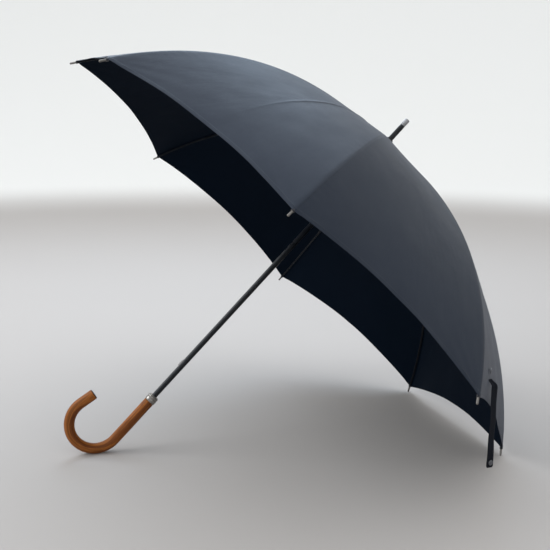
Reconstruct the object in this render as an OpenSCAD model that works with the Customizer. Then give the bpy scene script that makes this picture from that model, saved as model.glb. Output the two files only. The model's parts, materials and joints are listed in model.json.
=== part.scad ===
// Stick umbrella with a wooden crook handle, open and lying at rest on two rib tips and the crook.
// Every piece is drawn upright first, with the rib hinges at z = 0 and the shaft along +Z up to the crown.
// lay() then tips the whole umbrella over and stands it on z = 0.

/* [Frame] */
// Number of ribs, and of gores between them
ribs = 8; // [8:1:8]
// Length of a rib from its hinge to the corner of the cloth
rib_len = 607.5; // [560:0.5:650]
// Slope of a rib at its hinge, below the plane of the hinges
rib_slope = 1.5; // [0:0.5:4]
// Bend of the stiffer inner length of a rib, in degrees
inner_bend = 21.5; // [18:0.5:25]
// Bend of the outer length of a rib, which the cloth pulls down
outer_bend = 31; // [28:0.5:36]
// Share of the rib's length from its hinge to the stretcher joint
joint_share = 0.43; // [0.4:0.01:0.46]
// Width of the rib and stretcher channels
rib_w = 3.2; // [2.8:0.1:3.6]
// Height of the rib and stretcher channels
rib_h = 2.6; // [2.2:0.1:3]
// Thickness of the channel steel
rib_wall = 0.5; // [0.4:0.05:0.6]
// Radius of the circle that the hinges stand on
hinge_circle_r = 9; // [9:0.1:9.5]
// Turn of each rib from open to closed, in degrees
fold_turn = 61.5; // [55:0.5:61.5]

/* [Shaft] */
// Diameter of the shaft tube
shaft_d = 10; // [9.6:0.1:10.2]
// Wall of the shaft tube
shaft_wall = 0.8; // [0.6:0.1:1]
// Length of shaft showing from the plane of the cloth corners to the collar
shaft_below = 353; // [330:1:380]
// Length of the black ferrule tube above the crown
ferrule_len = 36; // [30:1:45]
// Length of the metal cap on the ferrule
cap_len = 15; // [12:1:18]

/* [Handle] */
// Diameter of the wooden crook
crook_d = 19; // [17:0.5:20]
// Straight length from the collar's top to the start of the bend
crook_straight = 106; // [95:1:115]
// Radius of the bend along the middle of the wood
crook_r = 47; // [43:1:50]
// Angle of the bend
crook_turn = 193; // [180:1:200]
// Straight tail past the bend
crook_tail = 29; // [18:1:36]
// Diameter of the metal collar
collar_d = 21; // [20.5:0.1:22]
// Length of the collar
collar_len = 14; // [12:1:18]

/* [Cloth] */
// Thickness of the cloth's solid
cloth_t = 1; // [0.8:0.1:1.2]
// Gap between ribs and cloth, which clears the ears and rivets of the stretchers
cloth_gap = 1.1; // [1:0.05:1.5]
// How far the cloth stands up at the crown, above the line of the ribs
crown_lift = 22; // [18:0.5:26]
// Radius over which the crown's small cone dies away
crown_reach = 18; // [14:1:24]
// Depth of the hem's scallop as a share of the rib's length
scallop = 0.038; // [0.03:0.001:0.05]

/* [Hidden] */
$fn = 48;
step_deg = 360 / ribs;
half_deg = step_deg / 2;

// a rib is two arcs, one after the other, in its own upright plane
theta0 = rib_slope;
theta1 = theta0 + inner_bend;
theta2 = theta1 + outer_bend;
joint_s = rib_len * joint_share;
arc1_r = joint_s / (inner_bend * PI / 180);
arc2_r = (rib_len - joint_s) / (outer_bend * PI / 180);
arc1_c = [hinge_circle_r - arc1_r * sin(theta0), -arc1_r * cos(theta0)];
joint_p = arc1_c + arc1_r * [sin(theta1), cos(theta1)];
arc2_c = joint_p - arc2_r * [sin(theta1), cos(theta1)];
tip_p = arc2_c + arc2_r * [sin(theta2), cos(theta2)];

// the stretcher is as long as the rib's hinge is far from their joint, so the two legs stay mirror images
leg = norm(joint_p - [hinge_circle_r, 0]);
leg_deg = atan2(-joint_p[1], joint_p[0] - hinge_circle_r);
runner_z = -2 * leg * sin(leg_deg);

// small frame parts
wire_r = 0.6;
eye_bore_r = 0.75;
eye_r = 1.9;
tongue_t = 2;
rib_tongue = 10;
stretcher_tongue = 18;
saddle_len = 8;
joint_half = 4;
joint_block_w = 3.8;
joint_block_h = 3.6;
rivet_r = 0.8;
rivet_bore_r = 0.86;
ear_in = 2.15;
ear_t = 0.8;
ear_h = 3.4;
fork_len = 12;
end_rod_r = 1.2;
end_rod_in = 8;
end_rod_out = 6;
tip_r = 1.9;
tip_len = 11.7;
tip_gap = 0.2;

// the hub, the runner and the shaft
hub_r = 12.6;
hub_half = 4;
hub_top = 6;
slot_w = 2.8;
slot_in_r = 6.6;
slot_top = 2.6;
run_gap = 0.05;
sleeve_r = 6.2;
sleeve_len = 64;
thumb_r = 8.6;
thumb_len = 8;
key_w = 3;
key_r = 7.9;
shaft_r = shaft_d / 2;
shaft_bore_r = shaft_r - shaft_wall;
ring_z = tip_p[1];
collar_z = ring_z - shaft_below;
crook_in = 60;
shaft_bottom = collar_z - collar_len - crook_in;
crown_r = 5.6;

cap_r = 4.7;
cap_nose = 3;
spigot_r = 3;
spigot_len = 8;

// catches that hold the runner, each in a slot of the shaft
catch_t = 1.4;
catch_half = 10;
catch_out = 7.4;
catch_in = 1;
catch_slot_w = 2;
catch_slot_half = 10.6;
catch_drop = 46;
fold_travel = 2 * leg * (sin(leg_deg + fold_turn) - sin(leg_deg));
top_catch_z = runner_z - catch_drop;
bottom_catch_z = runner_z - fold_travel - catch_drop;
stop_z = runner_z + hub_half + 1.4;

// the crook and the pose
crook_rad = crook_d / 2;
tail_r = crook_rad - 0.05;
crook_c = [-crook_r, collar_z - crook_straight];
tip_c = tip_p + (tip_len - tip_r) * [cos(theta2), -sin(theta2)];
reach_x = tip_c[0] * cos(half_deg) - crook_c[0];
reach_z = crook_c[1] - tip_c[1];
rest_drop = crook_r + crook_rad - tip_r;
// the slope of the shaft at which two rib tips and the crook touch the ground together
lie_deg = atan2(reach_z, reach_x) + acos(rest_drop / norm([reach_x, reach_z]));
ground = tip_c[0] * cos(half_deg) * cos(lie_deg) - tip_c[1] * sin(lie_deg) + tip_r;

// the cloth's line along a rib: s from the hinge, off outwards from the rib's middle
function rib_theta(s) = s < joint_s ? theta0 + inner_bend * s / joint_s
    : theta1 + outer_bend * (s - joint_s) / (rib_len - joint_s);
function rib_point(s) = s < 0 ? [hinge_circle_r, 0] + s * [cos(theta0), -sin(theta0)]
    : s < joint_s ? arc1_c + arc1_r * [sin(rib_theta(s)), cos(rib_theta(s))]
    : arc2_c + arc2_r * [sin(rib_theta(s)), cos(rib_theta(s))];
function cloth_point(s, off) =
    let (deg = rib_theta(max(s, 0)), p = rib_point(s) + off * [sin(deg), cos(deg)])
    p + [0, crown_lift * exp(-p[0] / crown_reach)];
cloth_in = rib_h / 2 + cloth_gap;
cloth_out = cloth_in + cloth_t;
cloth_start = -hinge_circle_r + crown_r;
crown_z = cloth_point(cloth_start, cloth_out)[1];

// where the laid umbrella reaches along X, for the origin
low_x = crook_c[0] * sin(lie_deg) + crook_c[1] * cos(lie_deg) - crook_r - crook_rad;
function laid_x(p) = p[0] * cos(half_deg) * sin(lie_deg) + p[1] * cos(lie_deg);
high_x = max([for (k = [0:24]) laid_x(cloth_point(rib_len * k / 24, cloth_out))]);
middle_x = (low_x + high_x) / 2;

// rows and columns of a half gore
rows = 22;
cols = 7;
seam_gap = 0.15;
fold_gap = 0.15;

// the tie strap, sewn to the first gore near its hem and hanging straight down, turned off the cloth
strap_w = 13;
strap_t = 1;
strap_drop = 146;
strap_row = 0.935;
strap_across = 0.25;
strap_stand = 7;
strap_face = -75;
cloth_face = -33;
snap_r = 4.4;
snap_h = 1.6;
snap_up = 9;
socket_up = 14;

GORES = [for (k = [1:ribs], h = ["a", "b"]) str("gore_", k, "_half_", h)];

// rib 1 and rib 8 are the lowest pair; the numbers go round past the crook's side
function rib_deg(k) = -half_deg - (k - 1) * step_deg;

module lay() {
    translate([-middle_x, 0, ground]) rotate([0, 90 - lie_deg, 0]) children();
}

module at_rib(k) {
    lay() rotate([0, 0, rib_deg(k)]) children();
}

module pin_y(r, half) {
    rotate([90, 0, 0]) cylinder(r = r, h = 2 * half, center = true);
}

module ring(r, thick_r) {
    rotate_extrude() translate([r, 0]) circle(r = thick_r, $fn = 24);
}

// folded steel channel, open towards -X of the drawing
module channel_section() {
    difference() {
        square([rib_h, rib_w], center = true);
        translate([-rib_wall, 0]) square([rib_h, rib_w - 2 * rib_wall], center = true);
    }
}

module bent_channel(centre, r, from_deg, to_deg) {
    translate([centre[0], 0, centre[1]]) rotate([90, 0, 0]) rotate([0, 0, 90 - to_deg])
        rotate_extrude(angle = to_deg - from_deg, $fn = 200) translate([r, 0]) channel_section();
}

// a place along the rib, with +X along it
module along_rib(s) {
    p = rib_point(s);
    translate([p[0], 0, p[1]]) rotate([0, rib_theta(s), 0]) children();
}

module rib(k) {
    color("#16181b") at_rib(k) {
        difference() {
            union() {
                translate([hinge_circle_r, 0, 0]) pin_y(eye_r, tongue_t / 2);
                along_rib(rib_tongue / 2) cube([rib_tongue + 1, tongue_t, rib_h], center = true);
            }
            translate([hinge_circle_r, 0, 0]) pin_y(eye_bore_r, tongue_t);
        }
        bent_channel(arc1_c, arc1_r, rib_theta(rib_tongue), rib_theta(joint_s - joint_half + 0.5));
        difference() {
            along_rib(joint_s) cube([2 * joint_half, joint_block_w, joint_block_h], center = true);
            along_rib(joint_s) pin_y(rivet_bore_r, joint_block_w);
        }
        bent_channel(arc2_c, arc2_r, rib_theta(joint_s + joint_half - 0.5), rib_theta(rib_len - 7));
        along_rib(rib_len) rotate([0, 90, 0]) translate([0, 0, -end_rod_in])
            cylinder(r = end_rod_r, h = end_rod_in + end_rod_out);
    }
}

module rib_tip(k) {
    bare = tip_len - tip_r;
    color("#a9a8a3") at_rib(k) along_rib(rib_len) rotate([0, 90, 0]) difference() {
        union() {
            translate([0, 0, tip_gap]) cylinder(r = tip_r, h = bare - tip_gap);
            translate([0, 0, bare]) sphere(r = tip_r);
        }
        cylinder(r = end_rod_r + run_gap, h = end_rod_out + 0.5);
    }
}

// drawn with the runner's wire at the origin and the joint with the rib out along +X
module stretcher_body() {
    difference() {
        union() {
            translate([-eye_r, -tongue_t / 2, -eye_r]) cube([eye_r + saddle_len, tongue_t, eye_r]);
            translate([saddle_len, -tongue_t / 2, -eye_r])
                cube([stretcher_tongue - saddle_len + 1, tongue_t, eye_r + rib_h / 2]);
        }
        pin_y(eye_bore_r, tongue_t);
        translate([0, -tongue_t, -eye_bore_r]) cube([saddle_len, 2 * tongue_t, eye_r]);
    }
    translate([stretcher_tongue, 0, 0]) rotate([90, 0, 90])
        linear_extrude(leg - fork_len + 2 - stretcher_tongue) rotate([0, 0, 90]) channel_section();
    translate([leg - fork_len, -ear_in - ear_t, -rib_h / 2]) cube([4, 2 * (ear_in + ear_t), rib_h]);
    for (side = [-1, 1]) {
        translate([leg - fork_len + 1, side * (ear_in + ear_t / 2) - ear_t / 2, -ear_h / 2])
            cube([fork_len - 1, ear_t, ear_h]);
        translate([leg, side * (ear_in + ear_t / 2), 0]) pin_y(ear_h / 2, ear_t / 2);
        translate([leg, side * (ear_in + ear_t + 0.3), 0]) pin_y(1.5, 0.35);
    }
    translate([leg, 0, 0]) pin_y(rivet_r, ear_in + ear_t / 2);
}

module stretcher(k) {
    color("#16181b") at_rib(k) translate([hinge_circle_r, 0, runner_z])
        rotate([0, -leg_deg, 0]) stretcher_body();
}

module hinge_slots(low, high) {
    for (k = [1:ribs]) rotate([0, 0, rib_deg(k)])
        translate([slot_in_r, -slot_w / 2, low]) cube([hub_r, slot_w, high - low]);
}

module notch() {
    color("#202226") lay() difference() {
        union() {
            translate([0, 0, -hub_half]) cylinder(r = hub_r, h = hub_half + hub_top);
            translate([0, 0, -hub_half - 6]) cylinder(r = slot_in_r, h = 7);
        }
        translate([0, 0, -hub_half - 7]) cylinder(r = shaft_r + run_gap, h = hub_half + hub_top + 8);
        hinge_slots(-hub_half - 1, slot_top);
        ring(hinge_circle_r, wire_r + 0.03);
    }
}

module notch_wire() {
    color("#b5b7ba") lay() ring(hinge_circle_r, wire_r);
}

module runner_wire() {
    color("#b5b7ba") lay() translate([0, 0, runner_z]) ring(hinge_circle_r, wire_r);
}

module runner() {
    color("#202226") lay() translate([0, 0, runner_z]) difference() {
        union() {
            translate([0, 0, -hub_half]) cylinder(r = hub_r, h = 2 * hub_half);
            translate([0, 0, -sleeve_len]) cylinder(r = sleeve_r, h = sleeve_len);
            translate([0, 0, -sleeve_len]) cylinder(r = thumb_r, h = thumb_len);
        }
        translate([0, 0, -sleeve_len - 1]) cylinder(r = shaft_r + run_gap, h = sleeve_len + 20);
        hinge_slots(-hub_half - 1, hub_half + 1);
        ring(hinge_circle_r, wire_r + 0.03);
        // the keyway that clears both catches over the whole travel
        translate([-key_r, -key_w / 2, -sleeve_len - 1]) cube([key_r, key_w, sleeve_len + 20]);
    }
}

module runner_stop() {
    color("#b5b7ba") lay() translate([0, 0, stop_z]) difference() {
        cylinder(r = shaft_r + 1.6, h = 2.4);
        translate([0, 0, -1]) cylinder(r = shaft_r + 0.02, h = 5);
    }
}

module shaft() {
    color("#101114") lay() difference() {
        translate([0, 0, shaft_bottom]) cylinder(r = shaft_r, h = crown_z - shaft_bottom);
        translate([0, 0, shaft_bottom - 1]) cylinder(r = shaft_bore_r, h = crown_z - shaft_bottom + 2);
        for (z = [top_catch_z, bottom_catch_z])
            translate([-shaft_r - 1, -catch_slot_w / 2, z - catch_slot_half])
                cube([shaft_r, catch_slot_w, 2 * catch_slot_half]);
        translate([0, 0, collar_z - collar_len - crook_in / 2]) pin_y(1.05, shaft_r + 1);
    }
}

module top_catch() {
    color("#c3c5c8") catch_plate(top_catch_z, -1);
}

module bottom_catch() {
    color("#c3c5c8") catch_plate(bottom_catch_z, 1);
}

// a flat spring catch; its ramp faces the end that the runner comes from
module catch_plate(z, ramp) {
    lay() translate([0, 0, z]) rotate([90, 0, 0]) linear_extrude(catch_t, center = true)
        polygon([[catch_in, -ramp * catch_half], [catch_in, ramp * catch_half],
            [-shaft_r, ramp * catch_half], [-catch_out, ramp * 2],
            [-catch_out, -ramp * 6], [-shaft_r, -ramp * 9], [-shaft_r, -ramp * catch_half]]);
}

module inner_rosette() {
    under = cloth_in - 2.4;
    line = [for (k = [0:6]) cloth_point(cloth_start + 0.3 + k * 2, under)];
    back = [for (k = [6:-1:0]) cloth_point(cloth_start + 0.3 + k * 2, under - 0.8)];
    color("#14161c") lay() rotate_extrude() polygon(concat(line, back));
}

module crown_washer() {
    color("#101114") lay() translate([0, 0, crown_z + 0.2]) difference() {
        cylinder(r1 = shaft_r + 2.2, r2 = shaft_r + 1.2, h = 1.6);
        translate([0, 0, -1]) cylinder(r = shaft_bore_r + 0.1, h = 4);
    }
}

module ferrule_tube() {
    base = crown_z + 1.8;
    color("#0f1012") lay() difference() {
        union() {
            translate([0, 0, base]) cylinder(r1 = shaft_r, r2 = cap_r - 0.3, h = ferrule_len - 1.8);
            translate([0, 0, base - 14]) cylinder(r = shaft_bore_r - 0.05, h = 15);
        }
        translate([0, 0, crown_z + ferrule_len - spigot_len - 0.5]) cylinder(r = spigot_r + run_gap, h = spigot_len + 1);
    }
}

module ferrule_cap() {
    base = crown_z + ferrule_len;
    color("#8d8f92") lay() translate([0, 0, base]) {
        cylinder(r = cap_r, h = cap_len - cap_nose);
        translate([0, 0, cap_len - cap_nose]) cylinder(r1 = cap_r, r2 = cap_r - 1.4, h = cap_nose);
        translate([0, 0, -spigot_len]) cylinder(r = spigot_r, h = spigot_len + 1);
    }
}

module handle_collar() {
    color("#b9bbbd") lay() translate([0, 0, collar_z - collar_len]) difference() {
        union() {
            cylinder(r = collar_d / 2, h = collar_len * 0.55);
            cylinder(r = collar_d / 2 - 0.6, h = collar_len * 0.62);
            translate([0, 0, collar_len * 0.62]) cylinder(r = collar_d / 2 - 0.2, h = collar_len * 0.28);
            translate([0, 0, collar_len * 0.9])
                cylinder(r1 = collar_d / 2 - 0.2, r2 = collar_d / 2 - 1.2, h = collar_len * 0.1);
        }
        translate([0, 0, -1]) cylinder(r = shaft_r + run_gap, h = collar_len + 2);
    }
}

module crook_handle() {
    top = collar_z - collar_len;
    bend_z = crook_c[1];
    depth = top - shaft_bottom + 1;
    color("#a4622f") lay() difference() {
        union() {
            translate([0, 0, bend_z]) cylinder(r = crook_rad, h = top - bend_z);
            translate([-crook_r, 0, bend_z]) rotate([-90, 0, 0])
                rotate_extrude(angle = crook_turn, $fn = 96) translate([crook_r, 0]) circle(r = crook_rad);
            translate([-crook_r, 0, bend_z]) rotate([0, crook_turn, 0]) translate([crook_r, 0, 0]) {
                translate([0, 0, 2 - crook_tail]) cylinder(r = tail_r, h = crook_tail - 1);
                translate([0, 0, -crook_tail]) cylinder(r1 = tail_r - 2, r2 = tail_r, h = 2);
            }
        }
        translate([0, 0, top - depth]) cylinder(r = shaft_r + run_gap, h = depth + 1);
        translate([0, 0, top - crook_in / 2]) pin_y(1.05, crook_rad + 1);
    }
}

module handle_pin() {
    color("#8d8f92") lay() translate([0, 0, collar_z - collar_len - crook_in / 2])
        pin_y(1, crook_rad - 0.4);
}

// a point of the cloth: s along the rib, t from this rib (0) to the next (1), side of the rib
function gore_point(s, t, side, off, shift) =
    let (p = cloth_point(s, off), next = side * step_deg)
    [p[0] * (1 - t + t * cos(next)), p[0] * t * sin(next) + side * shift, p[1]];

// how far along the rib's length the row u lies at t, with the hem's scallop
function row_s(u, t) = cloth_start + (rib_len - cloth_start) * u * (1 - scallop * 4 * t * (1 - t));

module half_gore(k, side) {
    grid = [for (off = [cloth_in, cloth_out], i = [0:rows], j = [0:cols])
        let (u = pow(i / rows, 1.25), t = j / cols / 2)
        gore_point(row_s(u, t), t, side, off, j == 0 ? seam_gap : j == cols ? -fold_gap : 0)];
    wide = cols + 1;
    layer = (rows + 1) * wide;
    function turned(f) = side > 0 ? f : [f[2], f[1], f[0]];
    function quad(a, b, c, d) = [turned([a, b, c]), turned([a, c, d])];
    faces = concat(
        [for (i = [0:rows - 1], j = [0:cols - 1])
            let (a = i * wide + j) each quad(a, a + wide, a + wide + 1, a + 1)],
        [for (i = [0:rows - 1], j = [0:cols - 1])
            let (a = layer + i * wide + j) each quad(a, a + 1, a + wide + 1, a + wide)],
        [for (i = [0:rows - 1], j = [0, cols])
            let (a = i * wide + j, b = a + wide)
            each (j == 0 ? quad(a, a + layer, b + layer, b) : quad(a, b, b + layer, a + layer))],
        [for (j = [0:cols - 1], i = [0, rows])
            let (a = i * wide + j, b = a + 1)
            each (i == 0 ? quad(a, b, b + layer, a + layer) : quad(a, a + layer, b + layer, b))]);
    color("#232936") at_rib(k) polyhedron(grid, faces);
}

// the strap's root on the first gore's second half, in the laid pose
strap_root = gore_point(row_s(strap_row, strap_across), strap_across, 1, cloth_out, 0);
function turned_z(p, deg) = [p[0] * cos(deg) - p[1] * sin(deg), p[0] * sin(deg) + p[1] * cos(deg), p[2]];
function laid(p) = [p[0] * sin(lie_deg) + p[2] * cos(lie_deg) - middle_x, p[1],
    p[2] * sin(lie_deg) - p[0] * cos(lie_deg) + ground];

module at_cloth() {
    translate(laid(turned_z(strap_root, rib_deg(2)))) rotate([0, 0, cloth_face]) children();
}

module at_strap() {
    at_cloth() translate([strap_stand, 0, 0]) rotate([0, 0, strap_face - cloth_face]) children();
}

module tie_strap() {
    color("#1d222d") at_strap() translate([-strap_t / 2, -strap_w / 2, -strap_drop])
        cube([strap_t, strap_w, strap_drop]);
}

module strap_snap() {
    color("#3a3d44") at_strap() translate([strap_t / 2 + 0.05, 0, snap_up - strap_drop])
        rotate([0, 90, 0]) union() {
            cylinder(r = snap_r, h = snap_h * 0.6);
            cylinder(r = snap_r * 0.6, h = snap_h);
        }
}

module strap_socket() {
    color("#3a3d44") at_cloth() translate([0.6, 0, socket_up]) rotate([0, 90, 0]) difference() {
        cylinder(r = snap_r, h = snap_h);
        translate([0, 0, snap_h / 2]) cylinder(r = snap_r / 2, h = snap_h);
    }
}

shaft();
notch();
notch_wire();
inner_rosette();
crown_washer();
ferrule_tube();
ferrule_cap();
runner();
runner_wire();
runner_stop();
top_catch();
bottom_catch();
crook_handle();
handle_collar();
handle_pin();
tie_strap();
strap_snap();
strap_socket();
for (k = [1:ribs]) {
    rib(k);
    rib_tip(k);
    stretcher(k);
}
// gore k lies between rib k and the next one; half a is sewn to rib k, half b to the next rib
for (k = [1:ribs]) {
    half_gore(k, -1);
    half_gore(k % ribs + 1, 1);
}
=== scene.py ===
"""Stick umbrella with a wooden crook handle, open and lying on two rib tips and the crook.

The frame's steel and plastic parts keep their own meshes and get a finish. The cloth, seam tapes, threads,
crook, collar, ferrule and tie strap are made here. Most pieces are drawn upright, with the rib hinges round
the origin and the shaft along +Z, and are then laid down like the frame. Sizes are in metres.
"""

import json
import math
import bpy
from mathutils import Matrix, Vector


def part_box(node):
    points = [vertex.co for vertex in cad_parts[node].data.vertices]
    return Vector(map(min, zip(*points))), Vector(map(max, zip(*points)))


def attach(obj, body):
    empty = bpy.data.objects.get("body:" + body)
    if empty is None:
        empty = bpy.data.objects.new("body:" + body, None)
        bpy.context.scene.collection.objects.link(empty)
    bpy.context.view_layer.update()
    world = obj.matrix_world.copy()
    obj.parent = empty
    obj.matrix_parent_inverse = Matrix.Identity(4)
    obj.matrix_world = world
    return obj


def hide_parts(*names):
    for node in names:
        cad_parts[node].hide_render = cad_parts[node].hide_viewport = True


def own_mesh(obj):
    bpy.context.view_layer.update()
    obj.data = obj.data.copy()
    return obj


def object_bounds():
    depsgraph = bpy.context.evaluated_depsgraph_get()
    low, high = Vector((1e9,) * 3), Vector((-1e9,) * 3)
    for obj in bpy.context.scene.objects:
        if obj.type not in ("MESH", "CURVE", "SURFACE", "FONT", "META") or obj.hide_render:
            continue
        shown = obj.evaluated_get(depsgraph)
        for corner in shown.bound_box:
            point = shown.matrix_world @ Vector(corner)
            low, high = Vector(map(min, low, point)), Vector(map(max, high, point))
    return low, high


bl_info = {
    "name": "Stick umbrella",
    "version": (1, 0, 0),
    "blender": (4, 5, 0),
    "location": "3D View > Sidebar > Umbrella",
    "description": "Builds the cloth, crook, fittings and finishes of a stick umbrella on its packed frame",
    "category": "Object",
}

import bpy
from bpy.props import FloatProperty, FloatVectorProperty, PointerProperty
from mathutils import Matrix, Vector, noise

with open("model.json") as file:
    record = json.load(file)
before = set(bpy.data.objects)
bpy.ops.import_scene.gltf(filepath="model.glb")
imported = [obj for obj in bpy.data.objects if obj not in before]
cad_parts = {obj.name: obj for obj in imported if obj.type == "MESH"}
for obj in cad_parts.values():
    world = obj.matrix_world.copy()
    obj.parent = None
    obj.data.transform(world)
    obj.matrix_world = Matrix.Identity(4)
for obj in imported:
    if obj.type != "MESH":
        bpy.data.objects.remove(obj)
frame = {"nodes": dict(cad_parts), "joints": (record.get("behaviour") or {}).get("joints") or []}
cad_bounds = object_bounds()

RIBS = 8
STEP = math.tau / RIBS
CREASED_GORE = 3
CLOTH_SMOOTH = math.radians(50)


# ---------------------------------------------------------------- sizes and colours


class CanopySizes(bpy.types.PropertyGroup):
    rib_length: FloatProperty(
        name="Rib length", description="Hinge to the corner of the cloth",
        default=0.6075, unit="LENGTH")
    rib_slope: FloatProperty(
        name="Rib slope", description="Slope of a rib at its hinge",
        default=math.radians(1.5), subtype="ANGLE")
    inner_bend: FloatProperty(
        name="Inner bend", description="Bend of the rib up to its joint",
        default=math.radians(21.5), subtype="ANGLE")
    outer_bend: FloatProperty(
        name="Outer bend", description="Bend of the rib past its joint",
        default=math.radians(31), subtype="ANGLE")
    joint_share: FloatProperty(
        name="Joint share", description="Share of the rib up to its joint",
        default=0.43, min=0.3, max=0.6)
    hinge_radius: FloatProperty(
        name="Hinge radius", description="Radius of the circle of hinges", default=0.009, unit="LENGTH")
    crown_radius: FloatProperty(
        name="Crown radius", description="Radius of the hole in the cloth",
        default=0.0056, unit="LENGTH")
    crown_lift: FloatProperty(
        name="Crown lift", description="Height of the small cone at the crown",
        default=0.022, unit="LENGTH")
    crown_reach: FloatProperty(
        name="Crown reach", description="Radius over which the cone dies away",
        default=0.018, unit="LENGTH")
    scallop: FloatProperty(
        name="Scallop", description="Depth of the hem's curve, as a share of the rib",
        default=0.038, min=0, max=0.1)
    cloth_face: FloatProperty(
        name="Cloth face", description="Outer face of the cloth above the rib's middle",
        default=0.0031, unit="LENGTH")
    cloth_thickness: FloatProperty(
        name="Cloth thickness", description="Thickness of one ply of cloth",
        default=0.0005, unit="LENGTH")
    hem_width: FloatProperty(
        name="Hem width", description="Width of the turned hem", default=0.007, unit="LENGTH")
    tape_width: FloatProperty(
        name="Tape width", description="Width of the seam tape under each seam",
        default=0.01, unit="LENGTH")
    patch_radius: FloatProperty(
        name="Patch radius", description="Radius of the patch over each rib joint",
        default=0.011, unit="LENGTH")
    folded_share: FloatProperty(
        name="Folded share", description="Share of a half gore's spread left when closed",
        default=0.2, min=0.01, max=1)


class HandleSizes(bpy.types.PropertyGroup):
    crook_radius: FloatProperty(
        name="Wood radius", description="Radius of the crook's wood", default=0.0095, unit="LENGTH")
    bend_radius: FloatProperty(
        name="Bend radius", description="Radius of the bend along its middle",
        default=0.047, unit="LENGTH")
    bend_turn: FloatProperty(
        name="Bend turn", description="Angle of the bend", default=math.radians(193), subtype="ANGLE")
    straight: FloatProperty(
        name="Straight", description="Collar's top to the start of the bend",
        default=0.106, unit="LENGTH")
    tail: FloatProperty(
        name="Tail", description="Straight length past the bend", default=0.029, unit="LENGTH")
    end_round: FloatProperty(
        name="End round", description="Rounding of the cut end", default=0.0022, unit="LENGTH")
    collar_radius: FloatProperty(
        name="Collar radius", description="Radius of the metal collar", default=0.0105, unit="LENGTH")
    collar_length: FloatProperty(
        name="Collar length", description="Length of the metal collar", default=0.014, unit="LENGTH")


class StrapSizes(bpy.types.PropertyGroup):
    width: FloatProperty(
        name="Width", description="Width of the tie strap", default=0.013, unit="LENGTH")
    thickness: FloatProperty(
        name="Thickness", description="Two plies of cloth", default=0.0009, unit="LENGTH")
    row: FloatProperty(
        name="Row", description="Place along the gore, from crown to hem", default=0.935, min=0, max=1)
    across: FloatProperty(
        name="Across", description="Place from the second rib to the first", default=0.25, min=0, max=1)
    snap_radius: FloatProperty(
        name="Snap radius", description="Radius of the press stud", default=0.0044, unit="LENGTH")


class UmbrellaColours(bpy.types.PropertyGroup):
    cloth: FloatVectorProperty(
        name="Cloth", description="Outer face of the cloth",
        default=(0.0115, 0.0150, 0.0250), subtype="COLOR", size=3)
    # Darker copy of the cloth's colour for its inner face and the seam tapes: painted shade for the shaded
    # inside of the canopy.
    lining: FloatVectorProperty(
        name="Inner face", description="Inner face of the cloth",
        default=(0.0026, 0.0056, 0.0115), subtype="COLOR", size=3)
    wood_light: FloatVectorProperty(
        name="Wood, light", description="Light grain of the crook",
        default=(0.35, 0.117, 0.024), subtype="COLOR", size=3)
    wood_dark: FloatVectorProperty(
        name="Wood, dark", description="Dark grain of the crook",
        default=(0.075, 0.0165, 0.0035), subtype="COLOR", size=3)
    lacquer: FloatVectorProperty(
        name="Lacquer", description="Black lacquer of shaft and ribs",
        default=(0.006, 0.0075, 0.011), subtype="COLOR", size=3)
    nickel: FloatVectorProperty(
        name="Nickel", description="Collar and rib tips",
        default=(0.27, 0.255, 0.24), subtype="COLOR", size=3)
    floor: FloatVectorProperty(
        name="Floor", description="Plain pale floor",
        default=(0.44, 0.415, 0.40), subtype="COLOR", size=3)
    backdrop: FloatVectorProperty(
        name="Backdrop", description="The floor where it curves up",
        default=(0.84, 0.84, 0.83), subtype="COLOR", size=3)


class StageSizes(bpy.types.PropertyGroup):
    camera_place: FloatVectorProperty(
        name="Camera place", description="Where the camera stands",
        default=(-0.55463, -1.83254, 0.67156),
        subtype="TRANSLATION", size=3)
    yaw: FloatProperty(
        name="Yaw", description="Camera's turn towards +X",
        default=math.radians(16.924), subtype="ANGLE")
    pitch: FloatProperty(
        name="Pitch", description="Camera's tilt down", default=math.radians(10.611), subtype="ANGLE")
    roll: FloatProperty(
        name="Roll", description="Camera's roll", default=math.radians(0.611), subtype="ANGLE")
    lens: FloatProperty(
        name="Lens", description="Focal length in millimetres", default=69.14, min=10, max=200)
    floor_radius: FloatProperty(
        name="Floor radius", description="Reach of the flat floor", default=3.2, unit="LENGTH")
    key_power: FloatProperty(
        name="Key power", description="Power of the large soft window light", default=64, min=0)
    back_power: FloatProperty(
        name="Back power", description="Power of the cool light behind the canopy", default=22, min=0)
    backdrop_power: FloatProperty(
        name="Backdrop power", description="Power of the light on the backdrop", default=16, min=0)
    fill_power: FloatProperty(
        name="Fill power", description="Power of the soft light from above", default=8, min=0)
    sky: FloatProperty(name="Sky", description="Brightness all round", default=0.92, min=0, max=3)


def sizes(group):
    return getattr(bpy.context.scene, group)


# ---------------------------------------------------------------- the umbrella's own shape


def joint(name):
    return next(j for j in frame["joints"] if j["name"] == name)


def box_middle(node):
    low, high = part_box(node)
    return (low + high) / 2


def laid():
    """Turns the upright drawing into the frame's place: hinges round the notch's wire, +Z up the shaft."""
    up = -Vector(joint("runner_slide")["axis"]).normalized()
    side = Vector((0, 1, 0))
    turn = Matrix((side.cross(up), side, up)).transposed().to_4x4()
    return Matrix.Translation(box_middle("notch_wire")) @ turn


LAID = laid()


def rib_turn(k):
    return -STEP / 2 - (k - 1) * STEP


def at_rib(k):
    return LAID @ Matrix.Rotation(rib_turn(k), 4, "Z")


def next_rib(k):
    return k % RIBS + 1


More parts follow.
